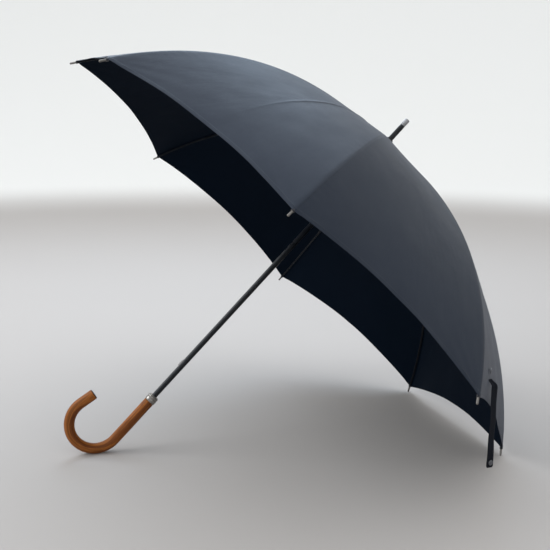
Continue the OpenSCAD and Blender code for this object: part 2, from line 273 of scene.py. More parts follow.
class RibLine:
    """The two arcs of an open rib in its own upright plane, and the cloth that lies along it."""

    def __init__(self):
        c = sizes("canopy")
        self.c = c
        self.length = c.rib_length
        self.joint = c.rib_length * c.joint_share
        self.slope_joint = c.rib_slope + c.inner_bend
        inner = self.joint / c.inner_bend
        outer = (self.length - self.joint) / c.outer_bend
        self.arc_in = (inner, c.hinge_radius - inner * math.sin(c.rib_slope),
                       -inner * math.cos(c.rib_slope))
        joint_x = self.arc_in[1] + inner * math.sin(self.slope_joint)
        joint_z = self.arc_in[2] + inner * math.cos(self.slope_joint)
        self.arc_out = (outer, joint_x - outer * math.sin(self.slope_joint),
                        joint_z - outer * math.cos(self.slope_joint))
        self.start = c.crown_radius - c.hinge_radius

    def slope(self, s):
        if s < self.joint:
            return self.c.rib_slope + self.c.inner_bend * max(s, 0) / self.joint
        return self.slope_joint + self.c.outer_bend * (s - self.joint) / (self.length - self.joint)

    def point(self, s):
        a = self.slope(s)
        if s < 0:
            return self.c.hinge_radius + s * math.cos(a), -s * math.sin(a)
        radius, x, z = self.arc_in if s < self.joint else self.arc_out
        return x + radius * math.sin(a), z + radius * math.cos(a)

    def cloth(self, s, off):
        a = self.slope(s)
        x, z = self.point(s)
        x += off * math.sin(a)
        z += off * math.cos(a)
        return x, z + self.c.crown_lift * math.exp(-x / self.c.crown_reach)

    def gore(self, s, t, side, off):
        """A point of the cloth: t runs from this rib, 0, to the middle of the gore, 0.5."""
        x, z = self.cloth(s, off)
        return Vector((x * (1 - t + t * math.cos(STEP)), side * x * t * math.sin(STEP), z))

    def row(self, u, t):
        """How far along the rib the row u lies at t, with the hem's scallop."""
        return self.start + (self.length - self.start) * u * (1 - self.c.scallop * 4 * t * (1 - t))

    def chord(self):
        """The straight line under the rib: its middle, its inward normal, and how far the rib bows."""
        foot, tip, high = (Vector(self.point(s)) for s in (0, self.length, self.joint))
        along = (tip - foot).normalized()
        inward = Vector((along.y, -along.x))
        if inward.y > 0:
            inward = -inward
        return (foot + tip) / 2, inward, -(high - foot).dot(inward)


def folds_with_rib(piece, line):
    """Gives the piece a mesh of its own; the rib's chord and the folded share are read but not used."""
    middle, inward, bow = line.chord()
    sizes("canopy").folded_share
    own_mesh(piece)


# ---------------------------------------------------------------- making meshes


def clear_selection():
    if bpy.context.object and bpy.context.object.mode != "OBJECT":
        bpy.ops.object.mode_set(mode="OBJECT")
    bpy.ops.object.select_all(action="DESELECT")


def place(piece, matrix):
    """Puts a finished piece where it belongs and moves that place into its mesh."""
    clear_selection()
    piece.select_set(True)
    bpy.context.view_layer.objects.active = piece
    piece.matrix_world = matrix @ piece.matrix_world
    bpy.ops.object.transform_apply(location=True, rotation=True, scale=True)
    return piece


def from_faces(name, points, faces):
    mesh = bpy.data.meshes.new(name)
    mesh.from_pydata(points, [], faces)
    mesh.update()
    piece = bpy.data.objects.new(name, mesh)
    bpy.context.scene.collection.objects.link(piece)
    mesh.polygons.foreach_set("use_smooth", [True] * len(mesh.polygons))
    return piece


def turned(name, profile, sides=64, smooth=35):
    """Turns a profile of (radius, height) points, from its first ring to its last, as on a lathe."""
    smallest = 1e-5
    weld = 3e-5
    clear_selection()
    radius, height = profile[0]
    radius = max(radius, smallest)
    bpy.ops.mesh.primitive_circle_add(
        vertices=sides, radius=radius, location=(0, 0, 0), fill_type="NOTHING")
    piece = bpy.context.object
    piece.name = piece.data.name = name
    bpy.ops.object.mode_set(mode="EDIT")
    bpy.ops.mesh.select_all(action="SELECT")
    bpy.ops.transform.translate(value=(0, 0, height))
    for wide, high in profile[1:]:
        wide = max(wide, smallest)
        bpy.ops.mesh.extrude_region_move(TRANSFORM_OT_translate={"value": (0, 0, high - height)})
        share = wide / radius
        bpy.ops.transform.resize(value=(share, share, 1), center_override=(0, 0, high))
        radius, height = wide, high
    bpy.ops.mesh.select_all(action="SELECT")
    bpy.ops.mesh.remove_doubles(threshold=weld)
    bpy.ops.mesh.normals_make_consistent(inside=False)
    bpy.ops.object.mode_set(mode="OBJECT")
    bpy.ops.object.shade_smooth_by_angle(angle=math.radians(smooth))
    return piece


def joined(name, parts):
    clear_selection()
    for part in parts:
        part.select_set(True)
    bpy.context.view_layer.objects.active = parts[0]
    bpy.ops.object.join()
    parts[0].name = parts[0].data.name = name
    return parts[0]


def finish_piece(piece, body, slot, *materials):
    for material in materials:
        piece.data.materials.append(material)
    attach(piece, body)


# ---------------------------------------------------------------- finishes


class Finish:
    """A new material whose nodes are added by short calls."""

    def __init__(self, name, colour, **sockets):
        self.material = bpy.data.materials.new(name)
        self.material.use_nodes = True
        self.nodes = self.material.node_tree.nodes
        self.links = self.material.node_tree.links
        self.shader = self.nodes["Principled BSDF"]
        self.shader.inputs["Base Color"].default_value = (*colour, 1)
        for socket, value in sockets.items():
            self.shader.inputs[socket.replace("_", " ")].default_value = value

    def add(self, kind, **values):
        node = self.nodes.new(kind)
        for name, value in values.items():
            if name in node.inputs:
                node.inputs[name].default_value = value
            else:
                setattr(node, name, value)
        return node

    def link(self, out, into):
        self.links.new(out, into)

    def object_space(self):
        return self.add("ShaderNodeTexCoord").outputs["Object"]

    def uv(self, layer):
        return self.add("ShaderNodeUVMap", uv_map=layer).outputs["UV"]

    def stretched(self, vector, scale):
        mapping = self.add("ShaderNodeMapping")
        mapping.inputs["Scale"].default_value = scale
        self.link(vector, mapping.inputs["Vector"])
        return mapping.outputs["Vector"]

    def noise(self, vector, scale, detail=3.0, rough=0.5, distortion=0.0):
        node = self.add("ShaderNodeTexNoise")
        node.inputs["Scale"].default_value = scale
        node.inputs["Detail"].default_value = detail
        node.inputs["Roughness"].default_value = rough
        node.inputs["Distortion"].default_value = distortion
        self.link(vector, node.inputs["Vector"])
        return node.outputs["Fac"]

    def ramp(self, value, *stops):
        node = self.add("ShaderNodeValToRGB")
        band = node.color_ramp
        while len(band.elements) < len(stops):
            band.elements.new(0.5)
        for element, (spot, colour) in zip(band.elements, stops):
            element.position = spot
            element.color = (*colour, 1) if hasattr(colour, "__len__") else (colour, colour, colour, 1)
        self.link(value, node.inputs["Fac"])
        return node.outputs["Color"]

    def mix(self, share, first, second):
        node = self.add("ShaderNodeMix", data_type="RGBA")
        self._feed(share, node.inputs[0])
        self._feed(first, node.inputs[6])
        self._feed(second, node.inputs[7])
        return node.outputs[2]

    def math(self, operation, first, second=0.0, third=None):
        node = self.add("ShaderNodeMath", operation=operation)
        self._feed(first, node.inputs[0])
        self._feed(second, node.inputs[1])
        if third is not None:
            self._feed(third, node.inputs[2])
        return node.outputs[0]

    def _feed(self, value, socket):
        if isinstance(value, bpy.types.NodeSocket):
            self.link(value, socket)
        elif hasattr(value, "__len__"):
            socket.default_value = (*value, 1)
        else:
            socket.default_value = value

    def range(self, value, low, high):
        node = self.add("ShaderNodeMapRange")
        node.inputs["To Min"].default_value = low
        node.inputs["To Max"].default_value = high
        self.link(value, node.inputs["Value"])
        return node.outputs["Result"]

    def colour(self, value):
        self.link(value, self.shader.inputs["Base Color"])

    def rough(self, value):
        self.link(value, self.shader.inputs["Roughness"])

    def bump(self, height, distance, strength=1.0, under=None):
        node = self.add("ShaderNodeBump")
        node.inputs["Distance"].default_value = distance
        node.inputs["Strength"].default_value = strength
        self.link(height, node.inputs["Height"])
        if under is not None:
            self.link(under, node.inputs["Normal"])
        self.link(node.outputs["Normal"], self.shader.inputs["Normal"])
        return node.outputs["Normal"]


def tone(colour, share):
    return tuple(min(1.0, c * share) for c in colour)


def weave(finish, cloth_map, pitch=0.0011):
    """Fine plain weave, a little uneven. A wave node at scale 1 repeats every tau / 20."""
    bands = math.tau / 20
    threads = []
    for direction in ("X", "Y"):
        wave = finish.add("ShaderNodeTexWave", wave_type="BANDS", bands_direction=direction)
        wave.inputs["Scale"].default_value = bands / pitch
        wave.inputs["Distortion"].default_value = 0.4
        finish.link(cloth_map, wave.inputs["Vector"])
        threads.append(wave.outputs["Fac"])
    return finish.math("MULTIPLY", *threads)


def stitches(finish, edge_map, hem, seam):
    """Rows of stitches beside the hem's turning and beside the seam: 1 on a stitch, 0 elsewhere."""
    half_width, pitch, stitch_share = 0.00045, 0.0032, 0.68
    parts = finish.add("ShaderNodeSeparateXYZ")
    finish.link(edge_map, parts.inputs["Vector"])
    from_seam, from_hem = parts.outputs["X"], parts.outputs["Y"]
    rows = []
    for distance, spot, run in ((from_hem, hem, from_seam), (from_seam, seam, from_hem)):
        near = finish.math("COMPARE", distance, spot, half_width)
        turn = finish.math("FRACT", finish.math("DIVIDE", run, pitch))
        dash = finish.math("LESS_THAN", turn, stitch_share)
        rows.append(finish.math("MULTIPLY", near, dash))
    return finish.math("MAXIMUM", *rows)


def cloth_finish(name, colour, outer):
    c = sizes("canopy")
    finish = Finish(name, colour, Roughness=0.46, Sheen_Weight=0.03 if outer else 0.0, Sheen_Roughness=0.35,
                    Sheen_Tint=(0.55, 0.68, 1.0, 1), Specular_IOR_Level=0.36 if outer else 0.03,
                    Specular_Tint=(0.66, 0.80, 1.0, 1))
    place_on = finish.object_space()
    cloth_map = finish.uv("cloth")
    cloudy = finish.noise(place_on, 7.0, detail=4)
    thread = finish.noise(finish.stretched(cloth_map, (900, 60, 1)), 1.0, detail=2)
    base = finish.mix(cloudy, tone(colour, 0.82), tone(colour, 1.2))
    base = finish.mix(finish.range(thread, 0.0, 0.3), base, tone(colour, 1.5))
    sewn = stitches(finish, finish.uv("edges"), c.hem_width - 0.0012, 0.0022)
    base = finish.mix(finish.math("MULTIPLY", sewn, 0.75), base, tone(colour, 0.35 if outer else 2.4))
    finish.colour(base)
    wear = finish.noise(place_on, 22.0, detail=5, rough=0.6)
    finish.rough(finish.range(wear, 0.46, 0.58) if outer else finish.range(wear, 0.55, 0.72))
    soft = finish.bump(finish.noise(finish.stretched(cloth_map, (1, 0.35, 1)), 46.0, detail=3), 0.0011, 0.5)
    woven = finish.bump(weave(finish, cloth_map), 0.00012, 0.35, soft)
    finish.bump(sewn, 0.0004, 0.8, woven)
    return finish.material


def strap_finish():
    # The strap is the canopy cloth at 0.4 of its colour: painted shade, as it hangs in the shade under the
    # canopy.
    colour = tone(sizes("colours").cloth, 0.4)
    finish = Finish("strap_cloth", colour, Roughness=0.6, Specular_IOR_Level=0.1)
    cloth_map = finish.uv("cloth")
    base = finish.mix(finish.noise(finish.object_space(), 60.0), tone(colour, 0.75), tone(colour, 1.4))
    sewn = stitches(finish, finish.uv("edges"), 0.0015, 0.0014)
    finish.colour(finish.mix(finish.math("MULTIPLY", sewn, 0.6), base, tone(colour, 2.6)))
    woven = finish.bump(weave(finish, cloth_map, 0.0009), 0.00015, 0.5)
    finish.bump(sewn, 0.0003, 0.8, woven)
    return finish.material


def lacquer_finish(name, colour, rough, chips=0.0):
    """Glossy black lacquer over steel, with fine dust, soft ripples and a few worn spots."""
    finish = Finish(name, colour, Roughness=rough, Specular_IOR_Level=0.28)
    place_on = finish.object_space()
    base = finish.mix(finish.noise(place_on, 90.0, detail=5), tone(colour, 0.7), tone(colour, 1.5))
    spots = finish.ramp(finish.noise(place_on, 260.0, detail=4, rough=0.7), (0.66, 0.0), (0.72, 1.0))
    finish.colour(finish.mix(finish.math("MULTIPLY", spots, chips), base, (0.07, 0.066, 0.06)))
    finish.rough(finish.range(finish.noise(place_on, 55.0, detail=4), rough - 0.06, rough + 0.12))
    finish.bump(finish.noise(place_on, 420.0, detail=3), 0.00008, 0.35)
    return finish.material


def plastic_finish():
    """Moulded black plastic with a slight grain."""
    colour = (0.014, 0.0145, 0.017)
    finish = Finish("black_plastic", colour, Roughness=0.4)
    place_on = finish.object_space()
    finish.colour(finish.mix(finish.noise(place_on, 70.0, detail=3), tone(colour, 0.8), tone(colour, 1.5)))
    finish.rough(finish.range(finish.noise(place_on, 160.0, detail=4), 0.32, 0.5))
    finish.bump(finish.noise(place_on, 900.0, detail=2), 0.00006, 0.5)
    return finish.material


def metal_finish(name, colour, rough, stretch=(1, 1, 1), grain=900.0):
    """Plated metal with fine brushing along one way, dull patches and a few specks."""
    finish = Finish(name, colour, Metallic=1.0, Roughness=rough)
    place_on = finish.object_space()
    brushed = finish.noise(finish.stretched(place_on, stretch), grain, detail=3)
    dull = finish.noise(place_on, 75.0, detail=5, rough=0.65)
    finish.colour(finish.mix(dull, tone(colour, 0.78), tone(colour, 1.08)))
    finish.rough(finish.range(finish.math("MULTIPLY", dull, brushed), rough - 0.05, rough + 0.25))
    finish.bump(brushed, 0.00003, 0.5)
    return finish.material


def wood_finish():
    """Stained and varnished wood: rings and fibres run along the stick, round the bend too."""
    colours = sizes("colours")
    light, dark = tuple(colours.wood_light), tuple(colours.wood_dark)
    finish = Finish("crook_wood", light, Roughness=0.42, Coat_Weight=0.04, Coat_Roughness=0.3,
                    Specular_IOR_Level=0.13)
    stick = finish.add("ShaderNodeAttribute", attribute_name="stick").outputs["Vector"]
    rings = finish.noise(finish.stretched(stick, (60, 190, 7)), 1.0, detail=4, rough=0.55, distortion=0.9)
    fibres = finish.noise(finish.stretched(stick, (900, 900, 22)), 1.0, detail=3)
    pores = finish.noise(finish.stretched(stick, (2200, 2200, 90)), 1.0, detail=2)
    clouds = finish.noise(finish.stretched(stick, (24, 24, 11)), 1.0, detail=3)
    base = finish.ramp(
        rings, (0.40, dark), (0.47, tone(light, 0.55)), (0.54, light), (0.62, tone(light, 0.38)))
    base = finish.mix(finish.range(fibres, 0.0, 0.4), base, dark)
    base = finish.mix(finish.math("MULTIPLY", clouds, 0.4), base, tone(light, 1.35))
    deep = finish.ramp(pores, (0.30, 1.0), (0.38, 0.0))
    base = finish.mix(finish.math("MULTIPLY", deep, 0.6), base, tone(dark, 0.45))
    h = sizes("handle")
    depth = finish.add("ShaderNodeSeparateXYZ")
    finish.link(stick, depth.inputs["Vector"])
    dark_share = 0.6
    end = h.bend_radius * h.bend_turn + h.tail - h.end_round * dark_share
    cut = finish.math("GREATER_THAN", depth.outputs["Z"], end)
    finish.colour(finish.mix(cut, base, tone(dark, 0.3)))
    finish.rough(finish.range(fibres, 0.34, 0.55))
    lift = finish.bump(fibres, 0.0001, 0.4)
    finish.bump(pores, 0.00012, 0.35, lift)
    return finish.material


def thread_finish():
    colour = (0.012, 0.013, 0.018)
    finish = Finish("sewing_thread", colour, Roughness=0.6, Sheen_Weight=0.3)
    place_on = finish.object_space()
    twist = finish.noise(place_on, 1500.0, detail=2)
    finish.colour(finish.mix(twist, tone(colour, 0.6), tone(colour, 2.2)))
    finish.bump(twist, 0.0001, 0.6)
    return finish.material


MADE = {}


def finishes():
    """Makes each material once, the first time any piece asks for it."""
    if not MADE:
        c = sizes("colours")
        lacquer, nickel = tuple(c.lacquer), tuple(c.nickel)
        MADE.update(
            cloth=cloth_finish("canopy_cloth", tuple(c.cloth), True),
            # The inner face's darker colour is painted shade for the inside of the canopy.
            lining=cloth_finish("canopy_cloth_inside", tuple(c.lining), False),
            strap=strap_finish(),
            shaft=lacquer_finish("shaft_lacquer", lacquer, 0.26),
            ribs=lacquer_finish("black_steel", tone(lacquer, 1.3), 0.34, 0.35),
            ferrule=lacquer_finish("ferrule_lacquer", tone(lacquer, 0.8), 0.24),
            plastic=plastic_finish(),
            tips=metal_finish("tip_metal", tone(nickel, 0.75), 0.4, (1, 1, 0.2), 700.0),
            wire=metal_finish("bright_steel", (0.66, 0.66, 0.67), 0.26),
            cap=metal_finish("cap_metal", (0.30, 0.30, 0.31), 0.34, (1, 1, 1), 500.0),
            collar=metal_finish("collar_metal", nickel, 0.24, (0.1, 1, 1), 900.0),
            snap=metal_finish("snap_metal", (0.16, 0.165, 0.18), 0.34),
            wood=wood_finish(),
            thread=thread_finish(),
        )
    return MADE


# ---------------------------------------------------------------- cloth


def step_in(x, edge, width):
    """0 below edge, 1 above edge + width, smooth between."""
    share = min(max((x - edge) / width, 0.0), 1.0)
    return share * share * (3 - 2 * share)


def seam_relief(s, from_seam, gore, side):
    """The seam's groove, and the uneven puckers that its stitches pull beside it."""
    groove_depth, groove_width = 0.0006, 0.0011
    pucker_depth, pucker_pitch, pucker_reach = 0.00011, 0.017, 0.011
    wobble = noise.noise(Vector((s * 38, gore * 3.1, side * 5.7)))
    pull = noise.noise(Vector((s * 9, gore * 1.7, side * 2.3)))
    ripple = math.sin(s * math.tau / pucker_pitch + 3.0 * wobble)
    fade = math.exp(-from_seam / pucker_reach) * step_in(from_seam, 0.0004, 0.003)
    groove = groove_depth * math.exp(-((from_seam / groove_width) ** 2))
    return pucker_depth * (0.3 + 2 * pull) * ripple * fade - groove


def crease_relief(s, share, from_middle, gore):
    """The faint crease down the middle of one gore, dying away towards the hem."""
    height, width = 0.0009, 0.0022
    creep, creep_reach = 0.0004, 0.02
    run = step_in(share, 0.05, 0.2) * (1 - step_in(share, 0.45, 0.45))
    uneven = noise.noise(Vector((s * 55, gore * 2.9, 0)))
    ridge = height * math.exp(-((from_middle / width) ** 2))
    return run * (ridge + creep * math.exp(-from_middle / creep_reach) * uneven)


def slack_relief(spot, share, gore):
    """The slack of the cloth between ribs: broad swells and a finer ripple."""
    swell, ripple = 0.0013, 0.0003
    broad = noise.noise(spot * 9.0 + Vector((0, 0, gore * 0.37)))
    fine = noise.noise(Vector((spot.x * 34, spot.y * 34, spot.z * 12)))
    return (swell * broad + ripple * fine) * step_in(share, 0.03, 0.2)


def gathers(x, t):
    """Three small gathers in each gore beside the crown."""
    height, reach, folds = 0.0009, 0.026, 3
    return height * math.exp(-x / reach) * math.cos(t * math.tau * folds) * step_in(x, 0.007, 0.01)


def corner_relief(to_corner, from_seam, gore):
    """Folds that fan out from the corner, where the tip pulls the cloth."""
    height, reach, folds = 0.0005, 0.055, 17
    near = math.exp(-math.hypot(to_corner, from_seam) / reach)
    fan = math.atan2(from_seam, to_corner + 0.004)
    return height * near * math.sin(fan * folds + gore) * step_in(from_seam, 0.001, 0.006)


def hem_relief(t, from_hem, gore):
    """A slow wave along the hem."""
    height, reach, waves = 0.0006, 0.022, 2.6
    return height * math.exp(-from_hem / reach) * math.sin(t * math.tau * waves + gore)


def relief(line, k, side, s, t, from_hem, spot):
    """How far the cloth stands off its tight shape at one point."""
    x, _ = line.cloth(s, 0)
    wide = x * math.sin(STEP)
    from_seam = wide * t
    gore = k if side < 0 else (k - 2) % RIBS + 1
    share = s / line.length
    free = 4 * t * (1 - t)
    out = seam_relief(s, from_seam, gore, side)
    if gore == CREASED_GORE:
        out += crease_relief(s, share, wide * (0.5 - t), gore)
    out += free * slack_relief(spot, share, gore)
    out += gathers(x, t)
    out += corner_relief(line.length - s, from_seam, gore)
    out += free * hem_relief(t, from_hem, gore)
    return out


def strap_pucker(line, s, t, side, root):
    """The cloth is pinched where the tie strap is sewn on."""
    pinch, pinch_width = 0.0016, 0.007
    star, star_reach, star_points = 0.0012, 0.02, 3
    away = line.gore(s, t, side, 0) - root
    reach = away.length
    rays = math.cos(star_points * math.atan2(away.z, away.y))
    fan = star * rays * math.exp(-reach / star_reach) * step_in(reach, 0.002, 0.006)
    return fan - pinch * math.exp(-((reach / pinch_width) ** 2))


def half_gore(name, k, side):
    """One half of a gore, from its rib to the gore's middle line: an outer and an inner face."""
    c = sizes("canopy")
    line = RibLine()
    strap = sizes("strap")
    root = line.gore(line.row(strap.row, strap.across), strap.across, 1, 0)
    reach = line.length - line.start
    hem_rows = [0.0, 0.0003, 0.001, 0.0025, 0.0045, 0.0058, 0.0064, 0.0070, 0.0076, 0.0083]
    hem_band = 0.0125
    hem_fade, hem_rise, hem_ply = 0.0012, 0.00022, 0.0004
    roll_reach, roll_in, roll_up = 0.0006, 0.0002, 0.0003
    rows, row_crowding = 150, 1.12
    body = 1 - hem_band / reach
    steps = [(i / rows) ** row_crowding * body for i in range(rows + 1)]
    steps += [1 - distance / reach for distance in reversed(hem_rows)]
    columns, last_share, column_crowding = 20, 0.46, 1.3
    shares = [last_share * (j / columns) ** column_crowding for j in range(columns + 1)]
    shares += [0.475, 0.487, 0.493, 0.4965, 0.5]
    cols = len(shares) - 1
    layers = ([], [])
    cloth_uv, edge_uv = [], []
    for u in steps:
        for t in shares:
            s = line.row(u, t)
            from_hem = (1 - u) * reach
            spot = line.gore(s, t, side, 0)
            canopy_spot = Matrix.Rotation(rib_turn(k), 3, "Z") @ spot
            rise = relief(line, k, side, s, t, from_hem, canopy_spot)
            if (k, side) == (2, 1):
                rise += strap_pucker(line, s, t, side, root)
            hem = 1 - step_in(from_hem, c.hem_width - hem_fade / 2, hem_fade)
            roll = 1 - step_in(from_hem, 0.0, roll_reach)
            top = c.cloth_face + rise + hem_rise * hem - roll_in * roll
            low = top - c.cloth_thickness - hem_ply * hem + roll_up * roll
            layers[0].append(line.gore(s, t, side, top))
            layers[1].append(line.gore(s, t, side, low))
            across = line.cloth(s, 0)[0] * math.sin(STEP) * t
            cloth_uv.append((across, s))
            edge_uv.append((across, from_hem))
    wide = cols + 1
    deep = len(steps)
    count = deep * wide
    faces = []
    inside = []

    def put(a, b, c_, d, inner):
        faces.append((a, b, c_, d) if side > 0 else (d, c_, b, a))
        inside.append(inner)

    for i in range(deep - 1):
        for j in range(cols):
            a = i * wide + j
            put(a, a + wide, a + wide + 1, a + 1, 0)
            put(count + a, count + a + 1, count + a + wide + 1, count + a + wide, 1)
    for i in range(deep - 1):
        a = i * wide
        b = a + cols
        put(a, count + a, count + a + wide, a + wide, 0)
        put(b, b + wide, count + b + wide, count + b, 0)
    for j in range(cols):
        b = (deep - 1) * wide + j
        put(j, j + 1, count + j + 1, count + j, 0)
        put(b, count + b, count + b + 1, b + 1, 0)
    piece = from_faces(name, layers[0] + layers[1], faces)
    mesh = piece.data
    # Outer faces take the cloth's colour, inner faces its darker copy, which paints the shade inside the
    # canopy.
    for material in (finishes()["cloth"], finishes()["lining"]):
        mesh.materials.append(material)
    mesh.polygons.foreach_set("material_index", inside)
    for layer, values in (("cloth", cloth_uv), ("edges", edge_uv)):
        uv = mesh.uv_layers.new(name=layer)
        for loop in mesh.loops:
            uv.data[loop.index].uv = values[loop.vertex_index % count]
    place(piece, at_rib(k))
    bpy.ops.object.shade_smooth_by_angle(angle=CLOTH_SMOOTH)
    return piece, line


TAPE_START, TAPE_END = 0.016, 0.006


def seam_tape(k):
    """The tape under a seam, wider where it guards the cloth from the rib's joint."""
    c = sizes("canopy")
    line = RibLine()
    clearance, thick = 0.0001, 0.00035
    top = c.cloth_face - c.cloth_thickness - clearance
    rows, half = 220, 4
    points, faces, cloth_uv = [], [], []
    first, last = TAPE_START, line.length - TAPE_END
    count = (rows + 1) * (2 * half + 1)
    for low in (0, thick):
        for i in range(rows + 1):
            s = first + (last - first) * i / rows
            bulge = max(0.0, 1 - ((s - line.joint) / c.patch_radius) ** 2)
            width = c.tape_width / 2 + (c.patch_radius - c.tape_width / 2) * math.sqrt(bulge)
            x, _ = line.cloth(s, 0)
            for j in range(-half, half + 1):
                y = width * j / half
                t = abs(y) / (x * math.sin(STEP))
                points.append(line.gore(s, t, -1 if j < 0 else 1, top - low))
                cloth_uv.append((y, s))
    wide = 2 * half + 1
    for i in range(rows):
        for j in range(wide - 1):
            a = i * wide + j
            faces.append((a, a + wide, a + wide + 1, a + 1))
            faces.append((count + a, count + a + 1, count + a + wide + 1, count + a + wide))
        for a, turn in ((i * wide, 1), (i * wide + wide - 1, -1)):
            faces.append((a, count + a, count + a + wide, a + wide)[::turn])
    for j in range(wide - 1):
        for a, turn in ((j, 1), (rows * wide + j, -1)):
            faces.append((a, a + 1, count + a + 1, count + a)[::turn])
    piece = from_faces(f"seam_tape_{k}", points, faces)
    for layer in ("cloth", "edges"):
        uv = piece.data.uv_layers.new(name=layer)
        for loop in piece.data.loops:
            y, s = cloth_uv[loop.vertex_index]
            uv.data[loop.index].uv = (y, s) if layer == "cloth" else (c.tape_width / 2 - abs(y), s)
    place(piece, at_rib(k))
    bpy.ops.object.shade_smooth_by_angle(angle=CLOTH_SMOOTH)
    return piece, line


class UMBRELLA_OT_canopy(bpy.types.Operator):
    """Eight gores in two halves each, every half sewn to its own rib"""

    bl_idname = "umbrella.canopy"
    bl_label = "Canopy"

    def execute(self, context):
        seam_allowance, hem_allowance = 0.015, 0.012
        for k in range(1, RIBS + 1):
            for letter, rib, side in (("a", k, -1), ("b", next_rib(k), 1)):
                node = f"gore_{k}_half_{letter}"
                piece, line = half_gore(f"{node}_cloth", rib, side)
                finish_piece(piece, f"rib_{rib}", "canopy_cloth")
                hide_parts(node)
                width = round(line.cloth(line.length, 0)[0] * math.sin(STEP) / 2 + seam_allowance, 3)
                folds_with_rib(piece, line)
        return {"FINISHED"}


class UMBRELLA_OT_seam_tapes(bpy.types.Operator):
    """Tape under each seam, between the cloth and the rib"""

    bl_idname = "umbrella.seam_tapes"
    bl_label = "Seam tapes"

    def execute(self, context):
        for k in range(1, RIBS + 1):
            piece, line = seam_tape(k)
            # The tapes take the inner face's darker colour, which paints the shade inside the canopy.
            finish_piece(piece, f"rib_{k}", "canopy_cloth", finishes()["lining"])
            width = round(sizes("canopy").tape_width, 4)
        return {"FINISHED"}


class UMBRELLA_OT_threads(bpy.types.Operator):
    """Thread that ties the cloth to each rib: at its corner and at two places inside"""

    bl_idname = "umbrella.threads"
    bl_label = "Rib threads"

    def execute(self, context):
        line = RibLine()
        pitch, swell, depth = 0.0007, 0.00035, 0.0004
        ties = (
            (line.length - 0.0005, 5, 0.0027),
            (line.length * 0.72, 4, 0.0022),
            (line.length * 0.24, 4, 0.0022))
        for k in range(1, RIBS + 1):
            wraps = []
            for s, turns, radius in ties:
                profile = []
                for i in range(turns):
                    profile += [(radius, i * pitch), (radius + swell, (i + 0.5) * pitch)]
                profile.append((radius, turns * pitch))
                inner = radius - depth
                profile += [(inner, turns * pitch), (inner, 0), (radius, 0)]
                wrap = turned(f"wrap_{k}", profile, sides=24, smooth=60)
                x, z = line.point(s)
                lean = Matrix.Rotation(line.slope(s) + math.pi / 2, 4, "Y")
                back = Matrix.Translation((0, 0, -turns * pitch))
                wraps.append(place(wrap, at_rib(k) @ Matrix.Translation((x, 0, z)) @ lean @ back))
            piece = joined(f"rib_threads_{k}", wraps)
            finish_piece(piece, f"rib_{k}", "canopy_cloth", finishes()["thread"])
        return {"FINISHED"}


class UMBRELLA_OT_crown(bpy.types.Operator):
    """The small cloth cap over the gathered crown, and the rosette inside it"""

    bl_idname = "umbrella.crown"
    bl_label = "Crown"

    def execute(self, context):
        line = RibLine()
        face = sizes("canopy").cloth_face
        rings = 8
        cap_rise, edge_drop, clearance = 0.0009, 0.0006, 0.0002
        runs = [line.start + 0.0006 + i * 0.0008 for i in range(rings + 1)]
        outer = [line.cloth(s, face + cap_rise - edge_drop * (i / rings) ** 3) for i, s in enumerate(runs)]
        under = [line.cloth(s, face + clearance) for s in reversed(runs)]
        cap = turned("crown_cap", outer + under + outer[:1], sides=96, smooth=50)
        place(cap, LAID)
        finish_piece(cap, "umbrella_shaft", "rosette_cloth", finishes()["thread"])
        below_cloth, thick, ruffle = 0.0024, 0.0006, 0.0004
        runs = [line.start + 0.0004 + i * 0.0020 for i in range(rings)]
        depth = face - sizes("canopy").cloth_thickness - below_cloth
        upper = [line.cloth(s, depth) for s in runs]
        lower = [line.cloth(s, depth - thick - ruffle * math.sin(i * 1.9)) for i, s in enumerate(runs)]
        lower.reverse()
        rosette = turned("rosette", upper + lower + upper[:1], sides=96, smooth=50)
        place(rosette, LAID)
        finish_piece(rosette, "umbrella_shaft", "rosette_cloth", finishes()["thread"])
        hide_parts("inner_rosette")
        return {"FINISHED"}


# ---------------------------------------------------------------- crook, collar and ferrule


def collar_top():
    """Height of the collar's upper end along the upright shaft."""
    return (LAID.inverted() @ box_middle("handle_collar")).z + sizes("handle").collar_length / 2


